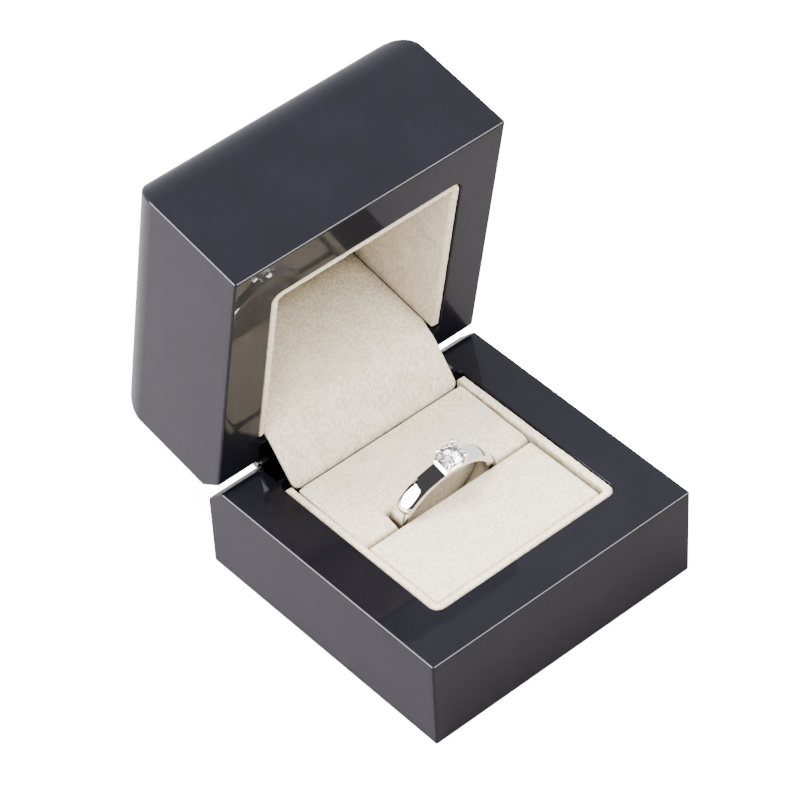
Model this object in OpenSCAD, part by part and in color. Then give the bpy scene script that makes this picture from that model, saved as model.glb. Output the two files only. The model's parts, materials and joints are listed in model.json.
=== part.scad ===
// Ring display box: a square lacquered case with a sprung lid, a suede-lined
// well, a split pad that grips a ring, and a suede flap that hides the hinge.
// Millimetres. The origin is the middle of the underside, +X right, +Y towards
// the hinge, +Z up. The lid stands open, as it rests on the hinge's stop.

/* [Case] */
// Width of the case, left to right
case_w = 60; // [56:1:80]
// Depth of the case, front to back
case_d = 60; // [56:1:80]
// Height of the base
base_h = 19.8; // [18.6:0.2:24]
// Height of the lid
lid_h = 29.4; // [27:0.2:36]
// Gap between lid and base when shut
shut_gap = 0.3; // [0.2:0.05:0.5]
// Width of the flat rims at the left and right
side_rim = 8.8; // [6:0.1:9.6]
// Width of the rims at the hinge
hinge_rim = 8.8; // [8.2:0.1:9.6]
// Width of the base's front rim
base_front_rim = 9.0; // [7:0.1:10]
// Width of the lid's front rim
lid_front_rim = 9.6; // [7:0.1:10.4]
// Thickness of the base's floor
floor_t = 3.6; // [3:0.1:4.4]
// Thickness of the lid's top
lid_top_t = 4.6; // [3.4:0.1:5.6]
// Radius of the well's routed corners
well_r = 2.0; // [1.8:0.1:3]
// Radius of the lid's rounded upper edges
lid_round = 7.8; // [4:0.2:9]
// Chamfer along the hinge side, on base and lid alike
hinge_chamfer = 4.0; // [2.6:0.1:5]

/* [Felt] */
// Thickness of the felt under the base
felt_t = 0.8; // [0.4:0.1:1.2]
// Border of lacquered wood round the felt
felt_border = 2.5; // [1.5:0.1:6]

/* [Linings] */
// Thickness of the suede-covered linings
lining_t = 1.6; // [1:0.1:2.2]
// Glue line between a lining and what it is stuck to
glue = 0.1; // [0.05:0.05:0.2]
// How far the linings stop short of the rims
lining_drop = 0.1; // [0.05:0.05:0.6]
// Thickness of the suede round the pads
suede_t = 0.5; // [0.3:0.05:0.8]
// Thickness of the lid's ceiling board
ceiling_board_t = 1.0; // [0.6:0.1:1.6]
// Thickness of the padded suede on the ceiling board
ceiling_pad_t = 1.4; // [0.8:0.1:2]

/* [Pad] */
// How far the pad lies below the rims
pad_drop = 1.2; // [0.6:0.1:2]
// Thickness of the board under the pad
pad_board_t = 1.0; // [0.6:0.1:1.6]
// Groove between the pad and the linings
pad_groove = 0.3; // [0.2:0.05:0.8]
// Radius of the soft roll where the rear pad goes down into the slot
slot_roll = 4.0; // [1.5:0.1:5]
// Radius of the front pad's front upper edge
pad_edge_r = 1.0; // [0.4:0.1:1.6]
// How much higher the rear pad stands at its back, where it meets the flap
pad_rise = 0.6; // [0.3:0.1:0.8]
// Gap between the ring and the suede of the slot
slot_clear = 0.35; // [0.3:0.05:0.6]
// Gap where the two pads meet beside the ring
slit_gap = 0.2; // [0.1:0.05:0.4]
// Room behind the rear pad's foot, from the hanging flap's face
flap_room = 2.15; // [2.15:0.05:3.5]
// Gap between the rear pad's upper edge and the flap when the lid is open
flap_gap = 0.2; // [0.15:0.05:0.5]

/* [Hinge] */
// How far the lid opens
open_angle = 79; // [70:1:82]
// Distance of the hinge pin from the back face
pin_inset = 3.0; // [2.8:0.1:3.4]
// Height of the hinge pin above the base's rim
pin_rise = 0.6; // [0.5:0.05:0.7]
// Length of the hinge
hinge_len = 41.6; // [34:0.4:44]
// Thickness of the hinge leaves
leaf_t = 0.5; // [0.3:0.05:0.6]
// Width of a leaf, from the pin to its front edge
leaf_w = 5.4; // [4.6:0.1:5.6]
// Diameter of the hinge pin
pin_d = 1.0; // [0.8:0.05:1.1]
// Running clearance round the pin
pin_clear = 0.06; // [0.03:0.01:0.09]
// Wall of the hinge knuckles
knuckle_wall = 0.55; // [0.4:0.05:0.6]
// Gap between neighbouring knuckles
knuckle_gap = 0.3; // [0.2:0.05:0.5]
// Length of the coil spring on the pin
spring_len = 12.4; // [8:0.4:14]
// Diameter of the spring wire
wire_d = 0.4; // [0.3:0.05:0.45]
// Shank diameter of the hinge screws
screw_d = 1.5; // [1.2:0.1:1.8]
// Length of the hinge screws
screw_len = 5.5; // [4:0.5:8]
// Distance of the hinge screws from the middle
screw_x = 16; // [10:0.5:17]

/* [Flap] */
// Length of the flap below its fold
flap_len = 11.6; // [9:0.2:12]
// Thickness of the flap's card
flap_card_t = 0.4; // [0.3:0.05:0.5]
// Thickness of the suede on the flap
flap_suede_t = 0.5; // [0.3:0.05:0.6]
// Slope of the flap when the lid is open, from upright
flap_slope = 37.7; // [37.5:0.1:38.5]
// Height of the fold above the lid's rim when shut
fold_rise = 0.6; // [0.4:0.1:0.9]
// Gap beside the flap
flap_side_gap = 0.3; // [0.3:0.05:0.8]

/* [Ring] */
// Outer radius of the ring
ring_r = 11.2; // [10:0.1:11.6]
// Thickness of the ring's band
band_t = 1.7; // [1.2:0.1:2.4]
// Width of the ring's band
band_w = 3.2; // [2:0.1:4]
// Lean of the ring towards the front
ring_lean = 14.5; // [8:0.5:16]
// Where the ring's mid-plane meets the pad's surface
slot_y = 1.15; // [-1:0.05:2]
// Gap under the ring
ring_seat_gap = 0.4; // [0.3:0.1:0.8]
// Side of the square setting
setting_w = 4.3; // [3.6:0.1:5]
// Depth of the flat cut on each shoulder of the band
shoulder_cut = 0.75; // [0.4:0.05:0.9]
// Length of the flat cut on each shoulder
shoulder_len = 4.1; // [3:0.1:5]
// Height of the prong tips above the band
prong_h = 2.8; // [2.4:0.1:3.4]
// Radius of the stone
stone_r = 2.3; // [1.8:0.05:2.4]

/* [Hidden] */
$fn = 48;
eps = 0.01;
lacquer_colour = "#2b2b33";
suede_colour = "#ded7cb";
foam_colour = "#d8d4c4";
card_colour = "#b9ad95";
felt_colour = "#1d1d21";
steel_colour = "#b8b8b4";
gold_colour = "#d9d6d0";
stone_colour = "#eef2f6";

// The well in the base, and the hollow in the lid as it lies when shut.
well_x = case_w / 2 - side_rim;
well_front = -case_d / 2 + base_front_rim;
well_back = case_d / 2 - hinge_rim;
lid_front = -case_d / 2 + lid_front_rim;
lid_z = base_h + shut_gap;
lid_ceiling = lid_z + lid_h - lid_top_t;

// Inner faces of the linings.
lined_x = well_x - glue - lining_t;
lined_front = well_front + glue + lining_t;
lining_back = well_back - well_r;
lining_r = 0.6;

// Pad heights.
board_z = floor_t + glue;
board_top = board_z + pad_board_t;
pad_z = board_top + glue;
pad_top = base_h - pad_drop;
pad_x = lined_x - pad_groove;
crisp_cut = 0.3;
crisp_drop = 0.4;
nose_r = 0.4;
nose_h = 0.8;
knee_h = 3.2;
least_r = 0.2;

// Hinge pin.
pin_y = case_d / 2 - pin_inset;
pin_z = base_h + pin_rise;
bore_r = pin_d / 2 + pin_clear;
knuckle_r = bore_r + knuckle_wall;
trough_gap = 0.35;
trough_r = knuckle_r + trough_gap;
trough_end = 0.9;
seat_clear = 0.1;
leaf_front = pin_y - leaf_w;
leaf_back = pin_y - trough_r - seat_clear * 2;
knuckle_len = (hinge_len - spring_len - 4 * knuckle_gap) / 4;
screw_y = leaf_front + (leaf_w - trough_r) / 2;
screw_clear = 0.05;
end_play = 0.05;

// Flap and its fold, as they lie when shut.
flap_t = flap_card_t + flap_suede_t;
flap_face = well_back - 2 * glue - lining_t;
fold_y = flap_face + flap_t / 2;
fold_z = lid_z + fold_rise;
flap_x = lined_x - flap_side_gap;
fold_r = flap_t / 2;
fold_clear = 0.3;
flap_corner_r = 1.5;

// Fold and flap as the open lid holds them.
fold_open_y = pin_y + (fold_y - pin_y) * cos(open_angle) + (fold_z - pin_z) * sin(open_angle);
fold_open_z = pin_z - (fold_y - pin_y) * sin(open_angle) + (fold_z - pin_z) * cos(open_angle);

// Front face of the open flap at a height.
function open_face(z) =
    fold_open_y - (fold_open_z - z) * tan(flap_slope) - flap_t / 2 / cos(flap_slope);

// Ring, leaning in the slot.
ring_z = board_top + ring_seat_gap + ring_r * cos(ring_lean) + band_w / 2 * sin(ring_lean);
ring_y = slot_y + (pad_top - ring_z) * tan(ring_lean);
slot_half = (band_w / 2 + slot_clear) / cos(ring_lean);
seat_z = ring_r - 0.5;
solder = 0.05;
shoulder_turn = asin(setting_w / 2 / ring_r) + asin(shoulder_len / 2 / ring_r);
prong_r = 0.36;
prong_x = stone_r / sqrt(2) + 0.2;
prong_over = 0.75;
girdle_z = ring_r + prong_h - prong_over;

// ---- shared shapes ----

// Points of an arc round c, from angle a to angle b.
function arc(c, r, a, b, n = 10) =
    [for (i = [0:n]) c + r * [cos(a + (b - a) * i / n), sin(a + (b - a) * i / n)]];

// A profile drawn in Y and Z, swept along X to a width centred on the middle.
module swept(w) {
    rotate([90, 0, 90]) translate([0, 0, -w / 2]) linear_extrude(w) children();
}

// An upright block with rounded vertical corners.
module round_block(x, y0, y1, z0, z1, r) {
    translate([-x + r, y0, z0]) cube([2 * (x - r), y1 - y0, z1 - z0]);
    translate([-x, y0 + r, z0]) cube([2 * x, y1 - y0 - 2 * r, z1 - z0]);
    for (sx = [-1, 1])
        for (y = [y0 + r, y1 - r])
            translate([sx * (x - r), y, z0]) cylinder(r = r, h = z1 - z0);
}

// A block between two heights, centred on X.
module slab(x, y0, y1, z0, z1) {
    translate([-x, y0, z0]) cube([2 * x, y1 - y0, z1 - z0]);
}

// Puts what is drawn in its shut place where the open lid carries it.
module opened() {
    translate([0, pin_y, pin_z]) rotate([-open_angle, 0, 0]) translate([0, -pin_y, -pin_z])
        children();
}

// Puts what is drawn hanging from the fold where the open lid holds it.
module folded() {
    opened() translate([0, fold_y, fold_z]) rotate([open_angle - flap_slope, 0, 0])
        children();
}

// Puts the ring, drawn round the origin in the XZ plane, in the slot.
module seated() {
    translate([0, ring_y, ring_z]) rotate([ring_lean, 0, 0]) children();
}

// A rod along X on the hinge's axis.
module on_pin(x, len, r) {
    translate([x, pin_y, pin_z]) rotate([0, 90, 0]) cylinder(r = r, h = len);
}

// Countersunk screw, head up at the origin, point down.
module screw(clear = 0) {
    r = screw_d / 2 + clear;
    translate([0, 0, -leaf_t]) cylinder(r1 = r, r2 = r + leaf_t, h = leaf_t);
    translate([0, 0, -screw_len]) cylinder(r = r, h = screw_len - leaf_t + eps);
}

// Both hinge screws of one leaf, heads level with the leaf's outer face.
module screw_pair(z, up, clear = 0) {
    for (sx = [-1, 1])
        translate([sx * screw_x, screw_y, z]) rotate([up ? 0 : 180, 0, 0]) screw(clear);
}

// Cut for one leaf and for the knuckles, in the rim of base or lid.
module hinge_seat(z0, z1) {
    slab(hinge_len / 2 + seat_clear, leaf_front - seat_clear, pin_y, z0, z1);
    on_pin(-hinge_len / 2 - trough_end, hinge_len + 2 * trough_end, trough_r);
}

// Lining that runs along the left, front and right of a hollow.
module u_lining(y_front, y_back, z0, z1) {
    past = 2 * well_r;
    difference() {
        intersection() {
            round_block(well_x - glue, y_front + glue, y_back + past, z0, z1, well_r - glue);
            slab(case_w, y_front, y_back, z0 - 1, z1 + 1);
        }
        round_block(
            lined_x, y_front + glue + lining_t, y_back + past, z0 - 1, z1 + 1, lining_r);
    }
}

// ---- base ----

// Lacquered wooden base: block with a routed well and the hinge's seat.
module base_shell() {
    c = hinge_chamfer;
    back = case_d / 2;
    color(lacquer_colour) difference() {
        swept(case_w) polygon([
            [-back, 0], [back, 0], [back, base_h - c], [back - c, base_h], [-back, base_h]]);
        round_block(well_x, well_front, well_back, floor_t, base_h + 1, well_r);
        slab(case_w / 2 - felt_border, -back + felt_border, back - felt_border, -1, felt_t);
        hinge_seat(base_h - leaf_t, base_h + 1);
        screw_pair(base_h, true, screw_clear);
    }
}

// Felt sheet let into the underside, level with the wood round it.
module base_felt() {
    gap = 0.1;
    glue_line = 0.05;
    x = case_w / 2 - felt_border - gap;
    y = case_d / 2 - felt_border - gap;
    color(felt_colour) slab(x, -y, y, 0, felt_t - glue_line);
}

// Suede-covered lining on the left, front and right of the well.
module base_lining() {
    color(suede_colour)
        u_lining(well_front, lining_back, board_z, base_h - lining_drop);
}

// Stiff board on the well's floor that carries both halves of the pad.
module pad_board() {
    color(card_colour) round_block(
        lined_x - glue, lined_front + glue, lining_back, board_z, board_top, lining_r);
}

// Middle of the slot at a height.
function slot_mid(z) = ring_y - (z - ring_z) * tan(ring_lean);

// Front pad's outline in Y and Z, drawn in by a thickness: flat top, crisp edges.
function front_outline(t) = let (
        y0 = lined_front + pad_groove + t,
        top = pad_top - t,
        r = max(pad_edge_r - t, least_r),
        y_low = slot_mid(pad_z) - slot_half - t,
        y_high = slot_mid(top) - slot_half - t,
        y_crisp = slot_mid(top - crisp_drop) - slot_half - t)
    concat(
        [[y0, pad_z], [y_low, pad_z], [y_crisp, top - crisp_drop], [y_high - crisp_cut, top]],
        arc([y0 + r, top - r], r, 90, 180));

// Rear pad's outline: a deep soft roll down to the front pad, and a back that leans
// over its foot as far as the turning flap lets it.
function rear_outline(t) = let (
        foot = flap_face - flap_room - t,
        top = pad_top - t,
        back_top = top + pad_rise,
        r = slot_roll - t,
        rn = max(nose_r - t, least_r),
        lean = flap_gap + t / cos(flap_slope),
        y_low = slot_mid(pad_z) - slot_half + slit_gap + t,
        y_roll = slot_mid(top - r) - slot_half + slit_gap + t)
    concat(
        [[y_low, pad_z], [foot, pad_z], [foot, back_top - knee_h]],
        [[open_face(back_top - nose_h) - lean, back_top - nose_h]],
        arc([open_face(back_top - rn) - lean - rn / cos(flap_slope), back_top - rn], rn,
            -flap_slope, 90),
        arc([y_roll + r, top - r], r, 90, 180 - ring_lean / 2));

// Front pad, drawn in by a thickness on every side.
module front_pad(t) {
    swept(2 * (pad_x - t)) polygon(front_outline(t));
}

// Rear pad, drawn in by a thickness, with the room that the ring presses into it.
module rear_pad(t) {
    half_w = band_w / 2 + slot_clear + t;
    r = ring_r + slot_clear + t;
    difference() {
        swept(2 * (pad_x - t)) polygon(rear_outline(t));
        seated() {
            rotate([90, 0, 0]) translate([0, 0, -half_w]) cylinder(r = r, h = 3 * half_w);
            translate([-r, -2 * half_w, 0]) cube([2 * r, 3 * half_w, 2 * r]);
        }
    }
}

// Foam cores, smaller than their covers by the suede and its glue.
module front_pad_foam() {
    color(foam_colour) front_pad(suede_t + glue);
}

module rear_pad_foam() {
    color(foam_colour) rear_pad(suede_t + glue);
}

// Suede wrapped over the front foam, open underneath.
module front_pad_cover() {
    color(suede_colour) difference() {
        front_pad(0);
        translate([0, 0, -eps]) front_pad(suede_t);
    }
}

// Suede wrapped over the rear foam, open underneath.
module rear_pad_cover() {
    color(suede_colour) difference() {
        rear_pad(0);
        translate([0, 0, -eps]) rear_pad(suede_t);
    }
}

// ---- hinge ----

// Left ends of the four knuckles and of the spring between the inner two.
knuckle_starts = [
    -hinge_len / 2,
    -spring_len / 2 - knuckle_gap - knuckle_len,
    spring_len / 2 + knuckle_gap,
    hinge_len / 2 - knuckle_len
];

// Knuckles of one leaf, with the web that joins each to its leaf.
module knuckles(starts, z0, z1) {
    for (x = starts) {
        on_pin(x, knuckle_len, knuckle_r);
        translate([x, leaf_back - eps, z0])
            cube([knuckle_len, pin_y - leaf_back + eps, z1 - z0]);
    }
}

// One leaf between two heights, with its knuckles, screw holes and pin bore.
module leaf(z0, z1, starts, face_z, up) {
    difference() {
        union() {
            slab(hinge_len / 2, leaf_front, leaf_back, z0, z1);
            knuckles(starts, z0, z1);
        }
        on_pin(-hinge_len, 2 * hinge_len, bore_r);
        screw_pair(face_z, up, screw_clear / 2);
    }
}

// Steel leaf let into the base's rear rim.
module base_hinge_leaf() {
    color(steel_colour)
        leaf(base_h - leaf_t, base_h, [knuckle_starts[0], knuckle_starts[2]], base_h, true);
}

// Countersunk screws of the base leaf.
module base_hinge_screws() {
    color(steel_colour) screw_pair(base_h, true);
}

// Hinge pin with a low head at each end.
module hinge_pin() {
    head_t = 0.4;
    head_r = pin_d * 0.75;
    x = hinge_len / 2 + end_play;
    color(steel_colour) {
        on_pin(-x, 2 * x, pin_d / 2);
        on_pin(-x - head_t, head_t, head_r);
        on_pin(x, head_t, head_r);
    }
}

// Close-wound spring on the pin, between the two inner knuckles.
module hinge_spring() {
    pitch = wire_d * 1.05;
    coil_r = pin_d / 2 + end_play + wire_d / 2;
    turns = floor((spring_len - wire_d) / pitch);
    step = (spring_len - wire_d) / turns;
    color(steel_colour)
        translate([-spring_len / 2, pin_y, pin_z]) rotate([0, 90, 0]) rotate_extrude() {
            for (i = [0:turns])
                translate([coil_r, wire_d / 2 + i * step]) circle(d = wire_d, $fn = 16);
            translate([coil_r - wire_d / 8, wire_d / 2]) square([wire_d / 4, spring_len - wire_d]);
        }
}

// ---- lid ----

// Outline of the lid seen from the side it is rounded on: a block with two round shoulders.
module shouldered(w, r) {
    translate([-w / 2, 0]) square([w, lid_h - r]);
    translate([-w / 2 + r, 0]) square([w - 2 * r, lid_h]);
    for (sx = [-1, 1]) translate([sx * (w / 2 - r), lid_h - r]) circle(r = r);
}

// Lacquered wooden lid: rounded above, flat rims below, hollowed out.
module lid_shell() {
    c = hinge_chamfer;
    back = case_d / 2;
    color(lacquer_colour) opened() difference() {
        translate([0, 0, lid_z]) intersection() {
            rotate([90, 0, 0]) translate([0, 0, -case_d / 2])
                linear_extrude(case_d) shouldered(case_w, lid_round);
            swept(case_w) shouldered(case_d, lid_round);
        }
        swept(case_w + 1) polygon([
            [back - c, lid_z], [back - c, lid_z - 1], [back + 1, lid_z - 1],
            [back + 1, lid_z + c + 1]]);
        round_block(well_x, lid_front, well_back, lid_z - 1, lid_ceiling, well_r);
        hinge_seat(lid_z - 1, lid_z + leaf_t);
        screw_pair(lid_z, false, screw_clear);
    }
}

// Suede-covered lining on the left, front and right of the lid's hollow.
module lid_lining() {
    color(suede_colour) opened()
        u_lining(lid_front, lining_back, lid_z + lining_drop, lid_ceiling - glue);
}

// Suede-covered panel on the hinge side, from the fold up to the ceiling.
module lid_hinge_panel() {
    color(suede_colour) opened()
        slab(flap_x, flap_face, well_back - glue, fold_z + flap_t / 2 + fold_clear,
            lid_ceiling - glue);
}

// Stiff board against the lid's ceiling.
module lid_ceiling_board() {
    color(card_colour) opened()
        round_block(lined_x - glue, lid_front + 2 * glue + lining_t, flap_face - glue,
            lid_ceiling - glue - ceiling_board_t, lid_ceiling - glue, lining_r);
}

// Padded suede on the ceiling board.
module lid_ceiling_pad() {
    top = lid_ceiling - 2 * glue - ceiling_board_t;
    color(suede_colour) opened()
        slab(lined_x - pad_groove, lid_front + glue + lining_t + pad_groove,
            flap_face - pad_groove, top - ceiling_pad_t, top);
}

// Steel leaf let into the lid's rear rim.
module lid_hinge_leaf() {
    color(steel_colour) opened()
        leaf(lid_z, lid_z + leaf_t, [knuckle_starts[1], knuckle_starts[3]], lid_z, false);
}

// Countersunk screws of the lid leaf.
module lid_hinge_screws() {
    color(steel_colour) opened() screw_pair(lid_z, false);
}

// ---- flap ----

// A sheet that hangs from the fold, with rounded lower corners.
module hanging(y0, t) {
    r = flap_corner_r;
    translate([0, y0, -flap_len]) {
        translate([-flap_x, 0, r]) cube([2 * flap_x, t, flap_len - r]);
        translate([-flap_x + r, 0, 0]) cube([2 * (flap_x - r), t, r + eps]);
        for (sx = [-1, 1])
            translate([sx * (flap_x - r), 0, r]) rotate([-90, 0, 0]) cylinder(r = r, h = t);
    }
}

// Card that stiffens the flap, clear of the roll at the fold.
module flap_card() {
    color(card_colour) folded() difference() {
        hanging(fold_r - flap_card_t, flap_card_t);
        translate([-flap_x - 1, -1, -glue]) cube([2 * flap_x + 2, 2, 1]);
    }
}

// Suede on the flap's face, rolled back over the card's top at the fold.
module flap_cover() {
    color(suede_colour) folded() {
        hanging(-fold_r, flap_suede_t);
        intersection() {
            translate([-flap_x, 0, 0]) rotate([0, 90, 0]) cylinder(r = fold_r, h = 2 * flap_x);
            translate([-flap_x, -1, 0]) cube([2 * flap_x, 2, 1]);
        }
    }
}

// ---- ring ----

// Band with a half-round outside, with a flat shoulder on each side of the setting.
module ring_band() {
    inner = ring_r - band_t;
    color(gold_colour) seated() difference() {
        rotate([90, 0, 0]) rotate_extrude($fn = 96) intersection() {
            translate([inner, -band_w / 2]) square([band_t, band_w]);
            translate([ring_r - band_w, 0]) circle(r = band_w, $fn = 64);
        }
        translate([-setting_w / 2 - solder, -band_w, seat_z])
            cube([setting_w + 2 * solder, 2 * band_w, band_t]);
        for (sx = [-1, 1])
            rotate([0, sx * shoulder_turn, 0])
                translate([-shoulder_len / 2, -band_w, ring_r - shoulder_cut])
                    cube([shoulder_len, 2 * band_w, band_t]);
    }
}

// Square setting with four prongs.
module ring_head() {
    frame_h = 1.5;
    hole_share = 0.72;
    hole_r = stone_r * hole_share;
    half = setting_w / 2;
    tip_z = ring_r + prong_h - prong_r;
    foot_z = seat_z + frame_h / 3;
    color(gold_colour) seated() {
        difference() {
            translate([-half, -half, seat_z + solder]) cube([setting_w, setting_w, frame_h]);
            translate([0, 0, seat_z - 1]) cylinder(r = hole_r, h = frame_h + 2);
        }
        for (sx = [-1, 1])
            for (sy = [-1, 1])
                translate([sx * prong_x, sy * prong_x, 0]) {
                    translate([0, 0, foot_z]) cylinder(r = prong_r, h = tip_z - foot_z);
                    translate([0, 0, tip_z]) sphere(r = prong_r);
                }
    }
}

// Round brilliant-cut stone.
module ring_stone() {
    table_share = 0.56;
    belly_share = 0.86;
    table_r = stone_r * table_share;
    crown_h = 0.6;
    belly_h = stone_r * belly_share;
    girdle = 0.06;
    r = prong_x * sqrt(2) - prong_r - glue;
    color(stone_colour) seated() translate([0, 0, girdle_z]) rotate_extrude() polygon([
        [0, -belly_h], [r, -girdle], [r, girdle], [table_r, crown_h], [0, crown_h]]);
}

base_shell();
base_felt();
base_lining();
pad_board();
front_pad_foam();
front_pad_cover();
rear_pad_foam();
rear_pad_cover();
base_hinge_leaf();
base_hinge_screws();
hinge_pin();
hinge_spring();
lid_shell();
lid_lining();
lid_hinge_panel();
lid_ceiling_board();
lid_ceiling_pad();
lid_hinge_leaf();
lid_hinge_screws();
flap_card();
flap_cover();
ring_band();
ring_head();
ring_stone();
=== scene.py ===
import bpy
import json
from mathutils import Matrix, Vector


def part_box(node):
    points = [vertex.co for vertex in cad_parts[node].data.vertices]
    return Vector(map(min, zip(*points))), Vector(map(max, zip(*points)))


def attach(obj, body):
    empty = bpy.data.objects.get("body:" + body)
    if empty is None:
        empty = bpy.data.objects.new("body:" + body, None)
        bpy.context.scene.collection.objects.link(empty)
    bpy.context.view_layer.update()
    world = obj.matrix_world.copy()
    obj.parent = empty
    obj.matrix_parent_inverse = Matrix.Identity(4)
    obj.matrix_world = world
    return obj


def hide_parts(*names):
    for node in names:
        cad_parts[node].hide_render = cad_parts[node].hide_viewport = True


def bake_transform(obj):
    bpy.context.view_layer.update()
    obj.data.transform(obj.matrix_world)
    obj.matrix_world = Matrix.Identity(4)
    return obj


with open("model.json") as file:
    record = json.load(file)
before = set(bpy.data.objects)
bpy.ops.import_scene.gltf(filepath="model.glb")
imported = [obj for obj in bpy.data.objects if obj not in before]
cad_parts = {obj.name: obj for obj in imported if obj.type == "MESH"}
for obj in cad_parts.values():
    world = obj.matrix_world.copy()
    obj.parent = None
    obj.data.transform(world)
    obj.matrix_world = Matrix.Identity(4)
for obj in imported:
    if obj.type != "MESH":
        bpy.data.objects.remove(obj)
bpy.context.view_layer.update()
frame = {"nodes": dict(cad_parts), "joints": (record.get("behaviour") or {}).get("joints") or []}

import json
import math

import bmesh
import bpy
from mathutils import Matrix, Vector, noise

# ---- Camera, floor and light ----
# The camera stands where the photograph was taken from: above the box's front
# left corner, far off with a long lens. The floor and the light are plain.
mm = 0.001
camera_azimuth = math.radians(-39.013)
camera_elevation = math.radians(44.438)
camera_roll = math.radians(-3.221)
camera_distance = 700.69 * mm
camera_target = Vector((4.48, 17.27, 25.8)) * mm

level_reach = math.cos(camera_elevation)
camera_back = Vector((
    math.sin(camera_azimuth) * level_reach,
    -math.cos(camera_azimuth) * level_reach,
    math.sin(camera_elevation),
))
level_side = Vector((0, 0, 1)).cross(camera_back).normalized()
level_up = camera_back.cross(level_side)
camera_side = level_side * math.cos(camera_roll) + level_up * math.sin(camera_roll)
camera_up = level_up * math.cos(camera_roll) - level_side * math.sin(camera_roll)

camera = bpy.data.objects.new("camera", bpy.data.cameras.new("camera"))
camera.data.lens = 178.354
camera.data.sensor_width = 36
camera.data.clip_start = 0.01
turn = Matrix((camera_side, camera_up, camera_back)).transposed().to_4x4()
camera.matrix_world = Matrix.Translation(camera_target + camera_back * camera_distance) @ turn
bpy.context.scene.collection.objects.link(camera)
bpy.context.scene.camera = camera


def principled(name, **sockets):
    """A material with one Principled shader, its plain values set on its own sockets."""
    material = bpy.data.materials.new(name)
    material.use_nodes = True
    shader = material.node_tree.nodes["Principled BSDF"]
    for socket, value in sockets.items():
        shader.inputs[socket.replace("_", " ")].default_value = value
    return material, material.node_tree.nodes, material.node_tree.links, shader


def shader_node(nodes, kind, **sockets):
    """A shader node of one kind, with plain values set on its own sockets."""
    made = nodes.new("ShaderNode" + kind)
    for socket, value in sockets.items():
        made.inputs[socket.replace("_", " ")].default_value = value
    return made


def colour_mix(nodes, **sockets):
    """A mix of the two colours A and B."""
    made = nodes.new("ShaderNodeMix")
    made.data_type = "RGBA"
    for socket, value in sockets.items():
        made.inputs[socket].default_value = value
    return made


def linked(name, bm):
    """A new object with a finished bmesh as its mesh."""
    mesh = bpy.data.meshes.new(name)
    bm.to_mesh(mesh)
    bm.free()
    obj = bpy.data.objects.new(name, mesh)
    bpy.context.scene.collection.objects.link(obj)
    return obj


paper_white = 14.0
floor_reach = 3.0
floor_paint, nodes, links, shader = principled(
    "floor_white", Roughness=0.9, Emission_Color=(1, 1, 1, 1))
seen = shader_node(nodes, "LightPath")
glow = shader_node(nodes, "MapRange", To_Max=paper_white)
spot = shader_node(nodes, "TexCoord")
depth = shader_node(nodes, "SeparateXYZ")
# Painted shade: the floor as the gloss sees it is darker than it is lit, and darkest in front of
# the box.
front_shade_ramp = shader_node(nodes, "MapRange", From_Min=-0.05, From_Max=0.09)
shaded_floor_in_gloss = colour_mix(nodes, A=(0.24, 0.24, 0.27, 1), B=(0.39, 0.39, 0.445, 1))
mirrored = colour_mix(nodes, A=(0.85, 0.85, 0.85, 1))
links.new(spot.outputs["Object"], depth.inputs["Vector"])
links.new(depth.outputs["Y"], front_shade_ramp.inputs["Value"])
links.new(front_shade_ramp.outputs["Result"], shaded_floor_in_gloss.inputs["Factor"])
links.new(shaded_floor_in_gloss.outputs["Result"], mirrored.inputs["B"])
links.new(seen.outputs["Is Camera Ray"], glow.inputs["Value"])
links.new(glow.outputs["Result"], shader.inputs["Emission Strength"])
links.new(seen.outputs["Is Glossy Ray"], mirrored.inputs["Factor"])
links.new(mirrored.outputs["Result"], shader.inputs["Base Color"])
bm = bmesh.new()
bmesh.ops.create_grid(bm, x_segments=1, y_segments=1, size=floor_reach)
floor = linked("floor", bm)
floor.data.materials.append(floor_paint)

world = bpy.data.worlds.new("studio")
bpy.context.scene.world = world
world.use_nodes = True
nodes, links = world.node_tree.nodes, world.node_tree.links
background = nodes["Background"]
direction = shader_node(nodes, "TexCoord")
seen = shader_node(nodes, "LightPath")


def patch(towards, starts, full):
    """How far a direction lies inside a round patch of the studio, from 0 to 1."""
    along = shader_node(nodes, "VectorMath")
    along.operation = "DOT_PRODUCT"
    along.inputs[1].default_value = Vector(towards).normalized()
    inside = shader_node(nodes, "MapRange", From_Min=starts, From_Max=full)
    inside.interpolation_type = "SMOOTHSTEP"
    links.new(direction.outputs["Generated"], along.inputs[0])
    links.new(along.outputs["Value"], inside.inputs["Value"])
    return inside.outputs["Result"]


def layer(factor, below, above):
    """Lays one level of light over another."""
    mix = colour_mix(nodes)
    for socket, value in (("A", below), ("B", above)):
        if isinstance(value, tuple):
            mix.inputs[socket].default_value = (*value, 1)
        else:
            links.new(value, mix.inputs[socket])
    links.new(factor, mix.inputs["Factor"])
    return mix.outputs["Result"]


walls = (1.86, 1.86, 1.95)
ceiling = (0.075, 0.075, 0.08)
lit_panel = (46.0, 46.0, 46.0)
sky_behind = (0.22, 0.215, 0.2)
sky_in_front = (1.5, 1.42, 1.3)
studio = layer(patch((-0.36, -0.28, 0.89), 0.74, 0.82), walls, ceiling)
studio = layer(patch((-0.83, -0.5, 0.2), 0.72, 0.82), studio, ceiling)
studio = layer(patch((-0.86, 0.3, 0.41), 0.86, 0.89), studio, lit_panel)
studio = layer(patch((0.45, -0.79, 0.41), 0.95, 0.97), studio, lit_panel)
sky = layer(patch((0.1, -0.75, 0.65), 0.1, 0.95), sky_behind, sky_in_front)
plain = layer(seen.outputs["Is Glossy Ray"], sky, studio)
white = layer(seen.outputs["Is Camera Ray"], plain, (paper_white, paper_white, paper_white))
links.new(white, background.inputs["Color"])

lamp_aim = Vector((0, 0, 0.02))
lamp_side = 0.6
lamp_tint = (1.0, 0.93, 0.84)


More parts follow.
